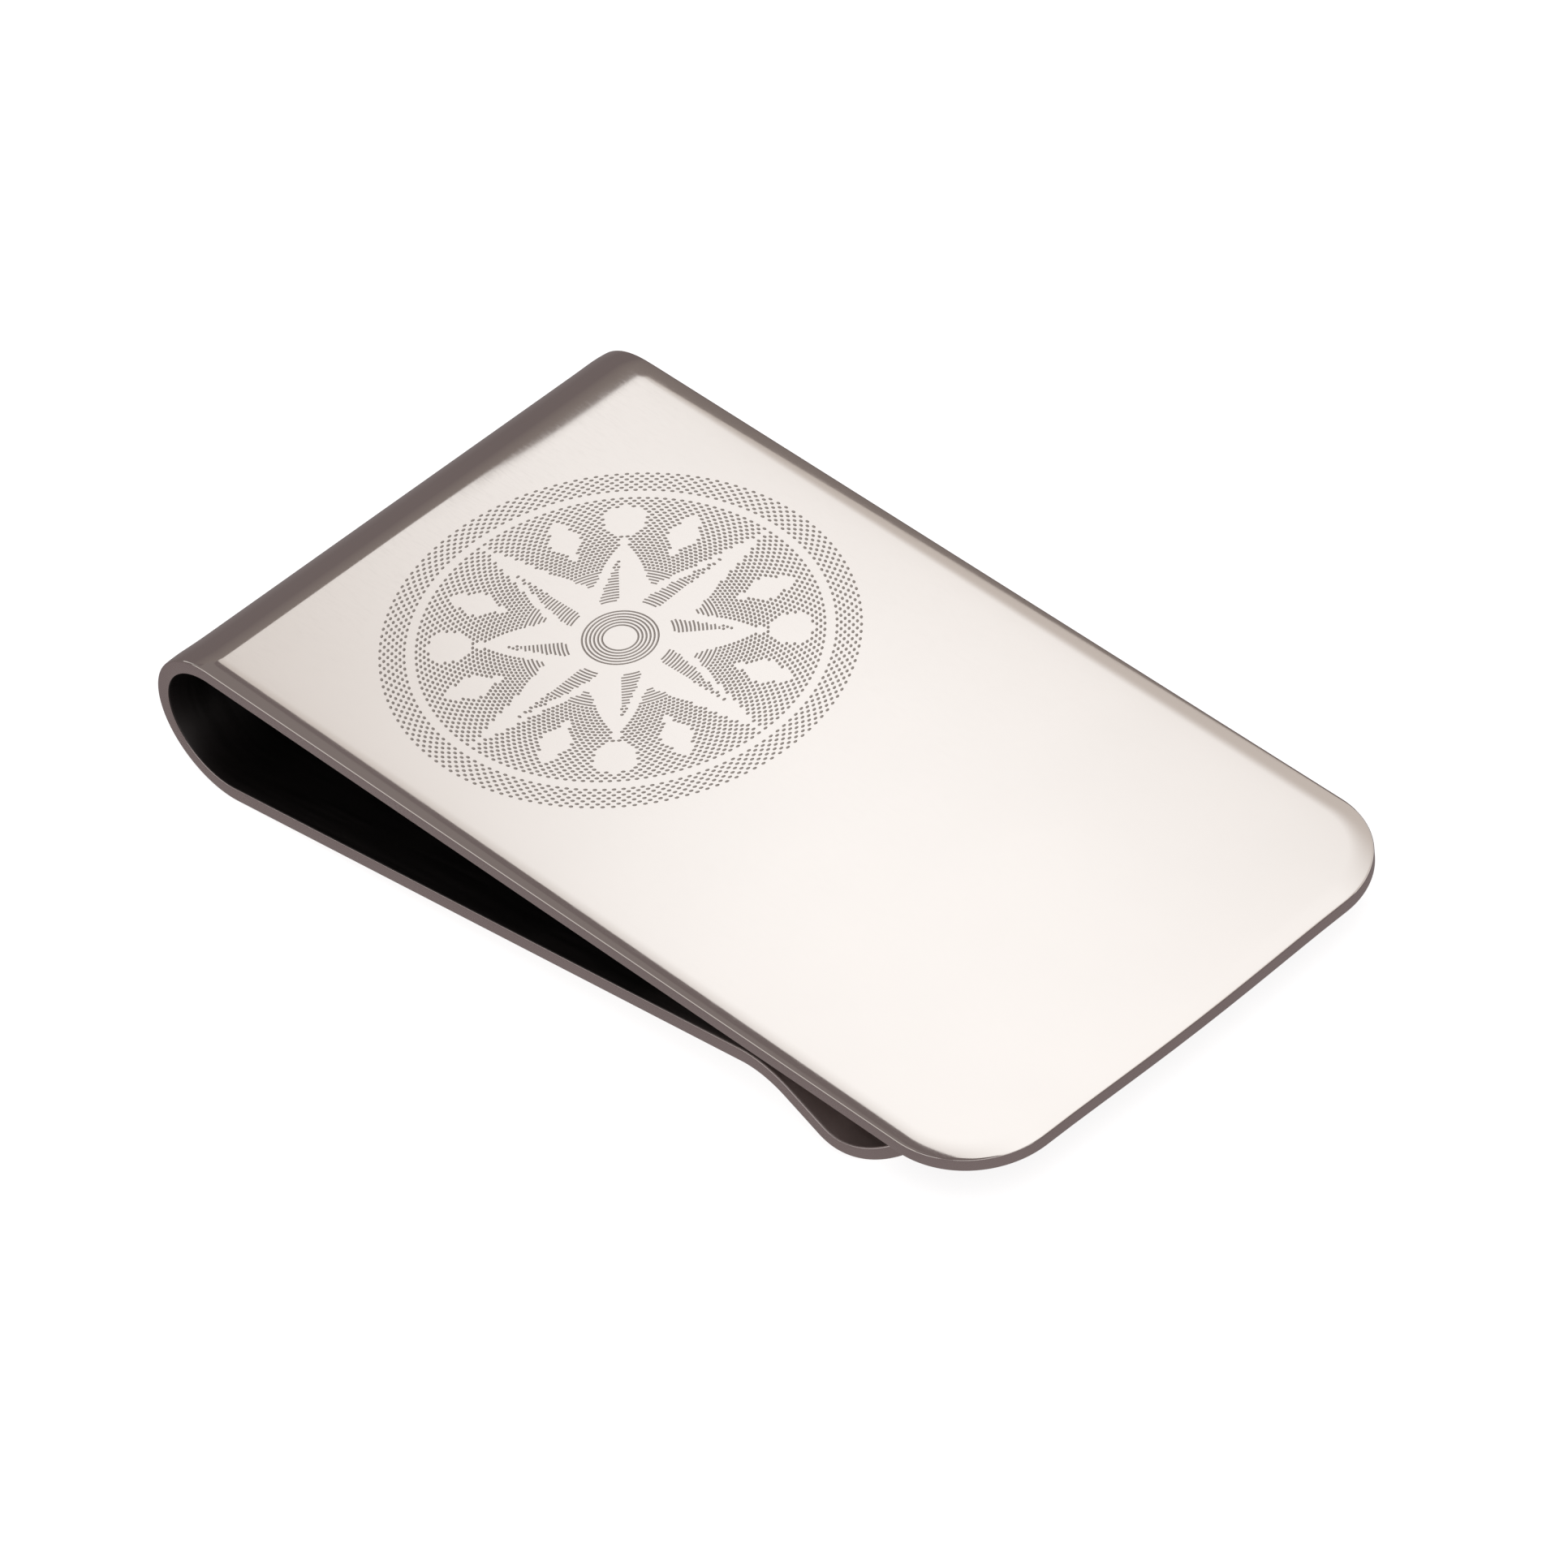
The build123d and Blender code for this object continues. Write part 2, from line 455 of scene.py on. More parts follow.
def bend_lift(path, size):
    """Returns how far the bend stands out from its true arc, by place along and across.

    Bending makes the edges flare outwards, by a square law of the distance into the edge zone
    times a squared sine round the arc. Towards the far side the bend also starts early: the
    strip sinks by a square law before the arc, and recovers round it as a fading exponential."""
    half = STRIP_WIDTH / 2

    def lift(s, across):
        s, across = np.broadcast_arrays(s, across)
        into_edge = np.clip((np.abs(across) - half) / size.crown_reach + 1, 0, 1)
        flare = np.where(across < 0, size.near_flare, size.far_flare) * into_edge**2
        round_arc = np.sin(pi * np.clip(s / path.ends[0], 0, 1)) ** 2
        towards_far = smoothstep(np.clip(
            (across - SINK_FROM * half) / (SINK_OVER * half), 0, 1))
        start = size.sink_run
        before = np.clip(1 + s / start, 0, 1) ** 2
        after = (1 + (2 + FADE) * s / start) * np.exp(-FADE * np.clip(s, 0, None) / start)
        sink = size.sink * towards_far * np.where(s < 0, before, after)
        return flare * round_arc - sink

    return lift


def swept_piece(name, materials, path, size, distances, columns, lift=None):
    """Strip of full width along the path: the cross-section carried to every distance, and
    lifted by the strip's unevenness there. Round the bend the section goes smoothly from the
    plate's to the leg's."""
    shell = Shell()
    half = STRIP_WIDTH / 2
    s = np.asarray(distances)[:, None]
    share = smoothstep(np.clip(s / path.ends[0], 0, 1))
    plate_inset, plate_height, finish = edge_profile(size, size.roll_slope)
    leg_inset, leg_height, finish = edge_profile(size, size.leg_roll_slope)
    inset = plate_inset + share * (leg_inset - plate_inset)
    height = plate_height + share * (leg_height - plate_height)

    def add(across, outward):
        raised = outward + lift(s, across) if lift else outward
        return shell.add(path.place(s, across, raised))

    near = add(inset - half, height)
    far = add(half - inset, height)
    outer = add(flat_row(half, plate_inset[0], columns), plate_height[0])
    inner = add(flat_row(half, plate_inset[-1], columns), plate_height[-1])
    shell.grid(near, finish)
    shell.grid(far, finish)
    shell.grid(np.concatenate([near[:, :1], outer, far[:, :1]], axis=1), POLISHED)
    shell.grid(np.concatenate([near[:, -1:], inner, far[:, -1:]], axis=1), INNER)
    for row in (0, -1):
        cap_section(shell, near[row], far[row], outer[row], inner[row])
    return shell.build(name, materials)


def end_outline(radius, bow, start, tip, side_places):
    """Anchors and outward directions round an end of the strip, in plan.

    A plan point is its anchor plus its direction times (corner radius minus inset). Anchors run
    along the near side, stay at the corner's centre while the direction turns a quarter, run
    across the end on a shallow bow, and come back along the far side."""
    half = STRIP_WIDTH / 2 - radius
    sign = np.sign(tip - start)
    corner = tip - sign * radius
    turn = np.linspace(-pi / 2, 0, 37)[1:-1]
    across = np.linspace(-half, half, ROWS_ACROSS + 1)
    count, turns, line = len(side_places), len(turn), len(across)
    bow = bow * (1 - (across / half) ** 2) ** 2
    along = np.concatenate([
        side_places, np.full(turns, corner), corner + sign * bow, np.full(turns, corner),
        side_places[::-1]])
    over = np.concatenate([
        np.full(count + turns, -half), across, np.full(count + turns, half)])
    out_along = np.concatenate([
        np.zeros(count), np.cos(turn), np.ones(line), np.cos(turn[::-1]), np.zeros(count)])
    out_over = np.concatenate([
        -np.ones(count), np.sin(turn), np.zeros(line), -np.sin(turn[::-1]), np.ones(count)])
    return along, over, sign * out_along, out_over


def end_piece(name, materials, path, profile, outline, disc=None):
    """Strip from a square-cut seam to a round-cornered end.

    profile is what edge_profile gives, and outline the arguments of end_outline. Rings at every
    inset of the profile run round the outline, and the flats between the innermost rings are
    filled by rows straight across the strip. disc, if given, fills the outer flat instead."""
    shell = Shell()
    inset, height, finish = profile
    radius, start = outline[0], outline[2]
    along, over, out_along, out_over = end_outline(*outline)
    reach = (radius - inset)[None, :]
    ring_s = along[:, None] + out_along[:, None] * reach
    ring_y = over[:, None] + out_over[:, None] * reach
    rings = shell.add(path.place(ring_s, ring_y, height[None, :]))
    shell.grid(rings, finish)

    line = ROWS_ACROSS + 1
    rows = (len(along) - line) // 2
    share = np.linspace(0, 1, line)[1:-1]

    def straight_rows(column):
        """Rows across one flat, from each near-side point to its far-side twin, with the row
        along the end last."""
        twin_y = ring_y[:rows, column]
        middle = shell.add(path.place(
            ring_s[:rows, column][:, None], twin_y[:, None] * (1 - 2 * share), height[column]))
        near = rings[:rows, column][:, None]
        far = rings[::-1, column][:rows][:, None]
        last = rings[rows:rows + line, column][None, :]
        return np.concatenate([np.concatenate([near, middle, far], axis=1), last])

    inner = straight_rows(-1)
    shell.grid(inner, INNER)
    if disc is None:
        outer = straight_rows(0)
        shell.grid(outer, POLISHED)
        outer_seam = outer[0, 1:-1]
    else:
        half = STRIP_WIDTH / 2
        outer_seam = shell.add(path.place(start, flat_row(half, inset[0]), height[0]))
        border = np.concatenate([rings[:, 0], outer_seam[::-1]])
        border_s = np.concatenate([ring_s[:, 0], np.full(line - 2, start)])
        border_y = np.concatenate([ring_y[:, 0], flat_row(half, inset[0])[::-1]])
        disc(shell, border, border_s, border_y, height[0])
    cap_section(shell, rings[0], rings[-1], outer_seam, inner[0, 1:-1])
    return shell.build(name, materials)


# ---- the etched disc ----


def fold(angle, step):
    """Signed angle from the nearest multiple of step, and that multiple's number."""
    number = np.round(angle / step).astype(int)
    return angle - number * step, number


ROSE_STEP = pi / 4              # from one point to the next
POINT_MARGIN = 0.42 * MM        # polished outline round the points
POINT_RIDGE = 0.16 * MM         # half the polished ridge along a point's middle
HUB = 2.15 * MM
HUB_RING = (0.75 * MM, 1.65 * MM)
RING, RING_HALF_WIDTH = 8.78 * MM, 0.2 * MM
DISC_PLACE, SMALL_DISC = 7.15 * MM, 0.92 * MM
LOZENGE_PLACE = 6.6 * MM
LOZENGE_HALF_LENGTH, LOZENGE_HALF_WIDTH = 1.35 * MM, 0.72 * MM


def is_etched(etching, radius, angle):
    """True where the compass rose's pattern is etched.

    A rose point is bounded by the straight line from its tip to its valleys, and one half of
    each is etched inside a polished outline. Round the rose the ground is etched, but for a
    polished ring, four polished discs beyond the short points and eight lozenges between."""
    off_axis, number = fold(angle, ROSE_STEP)
    lean = np.abs(off_axis)
    tip = np.where(number % 2 == 0, etching.long_point, etching.short_point)
    valley = etching.valley
    outline = tip * valley * sin(ROSE_STEP / 2) / (
        tip * np.sin(lean) + valley * np.sin(ROSE_STEP / 2 - lean))
    in_rose = radius < outline + POINT_MARGIN
    shaded = ((off_axis > 0) & (radius * np.sin(lean) > POINT_RIDGE)
              & (radius < outline - 0.9 * POINT_MARGIN))
    hub_ring = (radius > HUB_RING[0]) & (radius < HUB_RING[1])
    shaded = np.where(radius < HUB, hub_ring, shaded)

    ring = np.abs(radius - RING) < RING_HALF_WIDTH
    off_disc, _ = fold(angle - ROSE_STEP, 2 * ROSE_STEP)
    disc_away = np.hypot(radius * np.cos(off_disc) - DISC_PLACE, radius * np.sin(off_disc))
    off_lozenge, _ = fold(angle - ROSE_STEP / 2, ROSE_STEP)
    lozenge_away = (
        np.abs(radius * np.cos(off_lozenge) - LOZENGE_PLACE) / LOZENGE_HALF_LENGTH
        + np.abs(radius * np.sin(off_lozenge)) / LOZENGE_HALF_WIDTH)
    polished = ring | (disc_away < SMALL_DISC) | (lozenge_away < 1)
    return np.where(in_rose, shaded, ~polished)


PIT_SHARE = 0.43        # half a pit's length, at most, as a share of its cell

# corners of one cell, anticlockwise from its inner left, joined to its pit's eight rim points
CELL_TO_RIM = np.array([
    (0, 1, 11), (1, 12, 11), (1, 13, 12), (1, 2, 13), (2, 6, 13), (2, 3, 6), (3, 7, 6),
    (3, 4, 7), (4, 8, 7), (4, 9, 8), (4, 5, 9), (5, 10, 9), (5, 0, 10), (0, 11, 10)])


def etched_disc(path, etching):
    """Returns the function that fills the plate's outer flat: rings of pits staggered from one
    ring to the next, then rings of arcs, then a plain centre, all joined to the border."""
    dots = etching.dots_per_ring
    fine = 2 * dots
    pitch = etching.ring_pitch
    outside = etching.disc_radius + pitch
    pit_rings = int((outside - etching.arc_radius) / pitch)
    inner_radius = outside - pit_rings * pitch
    arc_rings = int(inner_radius / pitch) - 2

    def fill(shell, border, border_s, border_y, level):
        def on_face(radius, angle, depth=0.0):
            """Points of the disc, by radius and angle round its centre."""
            along = DISC_CENTRE + radius * np.cos(angle)
            return path.place(BEND_RADIUS - along, radius * np.sin(angle), level - depth)

        # border of every cell: rings half a pitch outside and inside the pits
        angles = np.arange(fine) * 2 * pi / fine
        rims = outside - np.arange(pit_rings + 1) * pitch
        nodes = shell.add(on_face(rims[:, None], angles[None, :]))
        join_border(shell, border, border_s, border_y, nodes[0], angles)

        ring, cell = np.meshgrid(np.arange(pit_rings), np.arange(dots), indexing="ij")
        first = (2 * cell + ring % 2) % fine
        centre_radius = rims[ring] - pitch / 2
        centre_angle = (first + 1) * 2 * pi / fine
        etched = is_etched(etching, centre_radius, centre_angle)
        etched &= centre_radius < etching.disc_radius
        corner = np.stack([
            nodes[ring + 1, first], nodes[ring + 1, (first + 1) % fine],
            nodes[ring + 1, (first + 2) % fine], nodes[ring, (first + 2) % fine],
            nodes[ring, (first + 1) % fine], nodes[ring, first]], axis=-1)
        plain = corner[~etched]
        shell.polygons(plain[:, [0, 1, 4, 5]], POLISHED)
        shell.polygons(plain[:, [1, 2, 3, 4]], POLISHED)

        # a pit is an eight-sided rim round a lowered middle
        turn = np.arange(8) * pi / 4
        middle_r, middle_a = centre_radius[etched][:, None], centre_angle[etched][:, None]
        room = 2 * pi / dots * middle_r
        half_length = np.minimum(etching.pit_length / 2, PIT_SHARE * room)
        rim = shell.add(on_face(
            middle_r + etching.pit_width / 2 * np.sin(turn),
            middle_a + half_length * np.cos(turn) / middle_r))
        floor = shell.add(on_face(middle_r[:, 0], middle_a[:, 0], etching.depth))
        joined = np.concatenate([corner[etched], rim], axis=1)
        shell.polygons(joined[:, CELL_TO_RIM], POLISHED)
        floors = np.broadcast_to(floor[:, None], rim.shape)
        shell.triangles(rim, np.roll(rim, -1, axis=1), floors, ETCHED)

        # arcs: four rows of quads to each ring, the middle two a shallow groove where etched
        coarse = angles[::2]
        ring_no = np.arange(arc_rings)
        groove = pitch / 4
        ring_middle = inner_radius - (ring_no + 0.5) * pitch
        cell_angle = coarse + pi / dots
        cut = is_etched(etching, ring_middle[:, None], cell_angle[None, :])
        both = cut & np.roll(cut, 1, axis=1)
        offsets = np.array([pitch / 2, groove, 0.0, -groove])
        arc_radius = (ring_middle[:, None] + offsets).ravel()
        depth = np.zeros((arc_rings, 4, dots))
        depth[:, 2] = np.where(both, etching.depth, 0)
        depth = depth.reshape(-1, dots)
        lowest = inner_radius - arc_rings * pitch
        arc_radius = np.append(arc_radius, lowest)
        depth = np.concatenate([depth, np.zeros((1, dots))])
        arcs = shell.add(on_face(arc_radius[1:, None], coarse[None, :], depth[1:]))
        first_row = nodes[-1, ::2]
        arcs = np.concatenate([first_row[None], arcs])
        finish = np.full((arc_rings, 4, dots), POLISHED)
        finish[:, 1:3] = np.where(cut, ETCHED, POLISHED)[:, None, :]
        finish = finish.reshape(-1, dots)
        wrapped = np.concatenate([arcs, arcs[:, :1]], axis=1)
        shell.grid(wrapped[1:], finish[1:])

        # the first row steps down from two points to a pit to one
        left, right = wrapped[0, :-1], wrapped[0, 1:]
        halfway = nodes[-1, 1::2]
        below_left, below_right = wrapped[1, :-1], wrapped[1, 1:]
        shell.triangles(left, halfway, below_left, POLISHED)
        shell.triangles(halfway, below_right, below_left, POLISHED)
        shell.triangles(halfway, right, below_right, POLISHED)

        hub = shell.add(on_face(np.zeros(1), np.zeros(1)))
        spokes = np.broadcast_to(hub, dots)
        shell.triangles(wrapped[-1, :-1], wrapped[-1, 1:], spokes, POLISHED)

    return fill


def join_border(shell, border, border_s, border_y, circle, circle_angles):
    """Triangles between the flat's border and the disc's outermost ring.

    Both loops are taken in order of angle round the disc's centre. Each step along one loop
    makes a triangle with the point that the other loop has reached by then."""
    along = BEND_RADIUS - border_s - DISC_CENTRE
    angle = np.mod(np.arctan2(border_y, along), 2 * pi)
    order = np.argsort(angle)
    border, angle = border[order], angle[order]
    reached = np.searchsorted(circle_angles, np.roll(angle, -1), side="left") - 1
    shell.triangles(border, np.roll(border, -1), circle[reached], POLISHED)
    reached = np.searchsorted(angle, np.roll(circle_angles, -1), side="right") - 1
    shell.triangles(circle, np.roll(circle, -1), border[reached], POLISHED)


# ---- finishes ----


class Nodes:
    """Adds shader nodes to one tree and joins them."""

    def __init__(self, tree):
        self.tree = tree
        tree.nodes.clear()

    def add(self, kind, settings=None, **inputs):
        """A node of that kind. Each input is a value or another node's output socket."""
        node = self.tree.nodes.new(kind)
        for name, value in (settings or {}).items():
            setattr(node, name, value)
        for name, value in inputs.items():
            socket = next(
                i for i in node.inputs
                if i.enabled and i.name.replace(" ", "_") == name)
            if isinstance(value, bpy.types.NodeSocket):
                self.tree.links.new(value, socket)
            else:
                socket.default_value = value
        return node

    def ramp(self, factor, low, high, to_low, to_high):
        """A value or colour that goes evenly from one end to the other as factor does."""
        if isinstance(to_low, (int, float)):
            return self.add("ShaderNodeMapRange", Value=factor, From_Min=low, From_Max=high,
                            To_Min=to_low, To_Max=to_high).outputs["Result"]
        share = self.ramp(factor, low, high, 0.0, 1.0)
        mix = self.add("ShaderNodeMix", {"data_type": "RGBA"}, Factor=share)
        colours = [i for i in mix.inputs if i.enabled and i.type == "RGBA"]
        colours[0].default_value = (*to_low, 1)
        colours[1].default_value = (*to_high, 1)
        return next(o for o in mix.outputs if o.enabled)

    def math(self, operation, *values):
        """The result of one Math node, whose inputs are values or sockets."""
        node = self.add("ShaderNodeMath", {"operation": operation})
        for socket, value in zip(node.inputs, values):
            if isinstance(value, bpy.types.NodeSocket):
                self.tree.links.new(value, socket)
            else:
                socket.default_value = value
        return node.outputs[0]

    def noise(self, vector, scale, detail=2.0):
        """Smooth noise, 0 to 1 about a middle of a half."""
        return self.add("ShaderNodeTexNoise", Vector=vector, Scale=scale,
                        Detail=detail).outputs[0]

    def place(self, kind="Object"):
        """Object coordinates, in metres, or another kind."""
        return self.add("ShaderNodeTexCoord").outputs[kind]

    def stretched(self, *scale):
        """Object coordinates times a scale along each axis."""
        return self.add("ShaderNodeMapping", Vector=self.place(), Scale=scale).outputs["Vector"]

    def coordinate(self, axis, kind="Object"):
        """One of those coordinates, by its number."""
        return self.add("ShaderNodeSeparateXYZ", Vector=self.place(kind)).outputs[axis]

    def relief(self, height, distance, under=None):
        """A normal that a height from 0 to 1 tilts, over another normal if one is given."""
        below = {"Normal": under} if under else {}
        return self.add("ShaderNodeBump", Strength=1.0, Distance=distance, Height=height,
                        **below).outputs[0]

    def metal(self, tint, rough, normal):
        """Ends the tree in bare metal."""
        metal = self.add("ShaderNodeBsdfPrincipled", Base_Color=tint, Metallic=1.0,
                         Roughness=rough, Normal=normal)
        self.add("ShaderNodeOutputMaterial", Surface=metal.outputs[0])

    def glow(self, tint):
        """Ends the tree in light of that colour."""
        light = self.add("ShaderNodeEmission", Color=tint, Strength=1.0)
        self.add("ShaderNodeOutputMaterial", Surface=light.outputs[0])


def new_material(name):
    """A material by that name, made anew, and its node helper."""
    material = bpy.data.materials.new(name)
    material.use_nodes = True
    return material, Nodes(material.node_tree)


MIDDLING = (0.3, 0.7)       # the range that smooth noise mostly keeps to


def shades(rgb, darkest):
    """A colour darkened to a share of itself, and the colour."""
    return tuple(c * darkest for c in rgb), tuple(rgb)


def polished_finish(colours):
    """Mirror-polished metal: gloss and tint that drift over centimetres, fine hairlines along
    the strip left by the polishing wheel, and the faint unevenness of buffed sheet."""
    material, nodes = new_material("Polished metal")
    even = nodes.stretched(1, 1, 1)
    cloud = nodes.noise(even, 130.0)
    hairline = nodes.noise(nodes.stretched(1, 14, 14), 900.0, 4.0)
    worn = nodes.ramp(cloud, *MIDDLING, 0.05, 0.07)
    rough = nodes.math("ADD", worn, nodes.ramp(hairline, 0.45, 0.75, 0.0, 0.035))
    buffed = nodes.relief(nodes.noise(even, 420.0, 1.0), 0.5e-6)
    nodes.metal(nodes.ramp(cloud, *MIDDLING, *shades(colours.metal, 0.975)), rough,
                nodes.relief(hairline, 0.03e-6, buffed))
    return material


def edge_finish(colours):
    """The sheet's cut edge, tumbled smooth: a broad, soft gloss with grain along the edge."""
    material, nodes = new_material("Tumbled cut edge")
    grain = nodes.noise(nodes.stretched(1, 1, 6), 2600.0, 3.0)
    cloud = nodes.noise(nodes.stretched(1, 1, 1), 240.0)
    nodes.metal(nodes.ramp(cloud, *MIDDLING, *shades(colours.edge, 0.94)),
                nodes.ramp(grain, *MIDDLING, 0.24, 0.34), nodes.relief(grain, 1.2e-6))
    return material


def etched_finish(colours):
    """Metal bitten by the etching acid: dull and darker, with a fine frosted grain."""
    material, nodes = new_material("Etched metal")
    frost = nodes.noise(nodes.stretched(1, 1, 1), 9000.0, 2.0)
    nodes.metal(nodes.ramp(frost, *MIDDLING, *shades(colours.etched, 0.86)),
                nodes.ramp(frost, *MIDDLING, 0.42, 0.58), nodes.relief(frost, 2.0e-6))
    return material


# where the inner face's painted shade gives way to painted light
PAINTED_LIGHT_FROM, PAINTED_LIGHT_OVER = 29 * MM, 8 * MM      # from the bend's outermost line


def painted_shade_inner_finish(colours):
    """The face inside the fold, never buffed, with rolling marks along the strip. Its colour is
    painted shade, dark inside the fold, and it turns lighter as painted light towards the lip and
    the plate's free end."""
    material, nodes = new_material("Tempered inner face")
    # the colour ramp below is painted shade inside the fold, going over to painted light towards
    # the lip
    start = HINGE[0] + PAINTED_LIGHT_FROM
    bare = nodes.ramp(nodes.coordinate(0), start, start + PAINTED_LIGHT_OVER, tuple(colours.inner),
                      tuple(colours.inner_painted_light))
    rolled = nodes.noise(nodes.stretched(1, 22, 1), 260.0, 4.0)
    cloud = nodes.noise(nodes.stretched(1, 1, 1), 160.0)
    tint = nodes.add("ShaderNodeVectorMath", {"operation": "SCALE"}, Vector=bare,
                     Scale=nodes.ramp(cloud, *MIDDLING, 0.9, 1.0)).outputs[0]
    nodes.metal(tint, nodes.ramp(rolled, *MIDDLING, 0.38, 0.5), nodes.relief(rolled, 0.8e-6))
    return material


FINISHES = (
    ("Polished metal", polished_finish),
    ("Tumbled cut edge", edge_finish),
    ("Etched metal", etched_finish),
    ("Tempered inner face", painted_shade_inner_finish),
)


def finishes():
    """The clip's finishes, in the order of the mesh's material numbers."""
    return [bpy.data.materials.get(name) or make(settings().finish) for name, make in FINISHES]


# ---- the pieces ----


SEAM = 1.3 * MM         # flat metal kept on the bend before its arc
LEG_SEAM = 0.6 * MM     # and after it
LIP_SEAM = 3.0 * MM     # flat metal kept on the lip before the crest


def finish_piece(piece, body, *nodes):
    """Hides the piece's stand-ins and lets it ride on its body."""
    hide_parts(*nodes)
    if body:
        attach(piece, body)


class MONEYCLIP_OT_face_plate(bpy.types.Operator):
    """Build the flat face plate with its etched disc"""

    bl_idname = "money_clip.face_plate"
    bl_label = "Face plate"

    def execute(self, context):
        clip = settings()
        path = SidePath(clip.strip)
        tip = BEND_RADIUS - CLIP_LENGTH
        places = np.linspace(-SEAM, tip + clip.strip.corner_radius, 72)
        outline = (clip.strip.corner_radius, clip.strip.end_bow, -SEAM, tip, places)
        profile = edge_profile(clip.strip, clip.strip.roll_slope)
        piece = end_piece("Face_Plate", finishes(), path, profile, outline,
                          etched_disc(path, clip.etching))
        finish_piece(piece, "front", "face_plate")
        return {"FINISHED"}


class MONEYCLIP_OT_bend(bpy.types.Operator):
    """Build the spring bend that joins the face plate to the leg"""

    bl_idname = "money_clip.bend"
    bl_label = "Spring bend"

    def execute(self, context):
        clip = settings()
        path = SidePath(clip.strip)
        end = path.ends[0]
        places = np.concatenate([
            np.linspace(-SEAM, 0, 14)[:-1], np.linspace(0, end, 145), [end + LEG_SEAM]])
        piece = swept_piece("Spring_Bend", finishes(), path, clip.strip, places, 36,
                            bend_lift(path, clip.strip))
        finish_piece(piece, None, "bend_upper", "bend_lower")
        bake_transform(piece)
        return {"FINISHED"}


class MONEYCLIP_OT_leg(bpy.types.Operator):
    """Build the straight spring leg and the curled lip at its end"""

    bl_idname = "money_clip.leg"
    bl_label = "Leg and lip"

    def execute(self, context):
        clip = settings()
        path = SidePath(clip.strip)
        start = path.ends[0] + LEG_SEAM
        seam = path.ends[1] - LIP_SEAM
        leg = swept_piece(
            "Clamp_Leg", finishes(), path, clip.strip, np.linspace(start, seam, 41), ROWS_ACROSS)
        finish_piece(leg, "spring_leg", "clamp_leg")
        tip = path.ends[-1]
        corner = tip - clip.strip.tip_corner_radius
        places = np.concatenate([
            np.linspace(seam, path.ends[1], 5)[:-1],
            np.linspace(path.ends[1], path.ends[2], 41)[:-1],
            np.linspace(path.ends[2], path.ends[3], 5)[:-1]])
        curl = np.linspace(path.ends[3], corner, 9) if corner > path.ends[3] else [corner]
        places = np.append(places[places < corner - 0.05 * MM], curl)
        outline = (clip.strip.tip_corner_radius, 0.0, seam, tip, places)
        profile = edge_profile(clip.strip, clip.strip.leg_roll_slope)
        lip = end_piece("Lift_Lip", finishes(), path, profile, outline)
        finish_piece(lip, "spring_leg", "lift_lip")
        return {"FINISHED"}


# ---- the studio ----


def from_plate(along, across, above):
    """Row-frame point given along the plate from the bend, across it and above its face."""
    return Vector(PLATE_ORIGIN + along * ALONG + across * ACROSS + above * NORMAL)


def flat_face(name, corners, material):
    """One flat face of the studio, through its corners."""
    mesh = bpy.data.meshes.new(name)
    mesh.from_pydata([tuple(c) for c in corners], [], [tuple(range(len(corners)))])
    mesh.materials.append(material)
    plane = new_object(name, mesh)
    return plane


def card(name, corners, material):
    """A flat light card through its corners in order, facing the clip. It lights only the metal,
    and only reflections show it."""
    corners = [Vector(c) for c in corners]
    middle = sum(corners, Vector()) / len(corners)
    facing = (corners[1] - corners[0]).cross(corners[2] - corners[0])
    if facing.dot(Vector(PLATE_ORIGIN) - middle) < 0:
        corners.reverse()
    plane = flat_face(name, corners, material)
    plane.visible_camera = False
    plane.visible_shadow = False
    plane.visible_diffuse = False


def plate_coordinates(nodes):
    """Sockets for how far a point lies along the plate and across it."""
    offset = nodes.add("ShaderNodeVectorMath", {"operation": "SUBTRACT"}, Vector=nodes.place())
    offset.inputs[1].default_value = PLATE_ORIGIN
    sockets = []
    for axis in (ALONG, ACROSS):
        dot = nodes.add("ShaderNodeVectorMath", {"operation": "DOT_PRODUCT"},
                        Vector=offset.outputs[0])
        dot.inputs[1].default_value = axis
        sockets.append(dot.outputs["Value"])
    return sockets


def softbox_glow(studio):
    """The softbox's light. It dims to half away from its slanting bright line, as a bell curve
    that is broader beyond the line and towards the right, and a little at its left side."""
    material, nodes = new_material("Softbox glow")
    along, across = plate_coordinates(nodes)
    work = nodes.math
    slant = studio.softbox_slant
    depth = work("ADD", work("MULTIPLY", along, sin(slant)), work("MULTIPLY", across, cos(slant)))
    beyond = work("SUBTRACT", depth, studio.bright_line)
    is_far = work("GREATER_THAN", beyond, 0.0)
    far_width = nodes.ramp(along, -250 * MM, -60 * MM, 28 * MM, 130 * MM)
    near_width = nodes.ramp(
        along, -235 * MM, -170 * MM, studio.bright_falloff, 2 * studio.bright_falloff)
    near_share = work("MULTIPLY", work("SUBTRACT", 1.0, is_far), near_width)
    away = work("DIVIDE", beyond, work("MULTIPLY_ADD", is_far, far_width, near_share))
    bell = work("EXPONENT", work("MULTIPLY", work("MULTIPLY", away, away), -1.0))
    inward = nodes.ramp(along, studio.softbox_left, studio.softbox_left + 70 * MM, 0.7, 1.0)
    share = work("MULTIPLY", bell, inward)
    nodes.glow(nodes.ramp(share, 0.0, 1.0, (0.63, 0.60, 0.575), (1.15, 1.195, 1.225)))
    return material


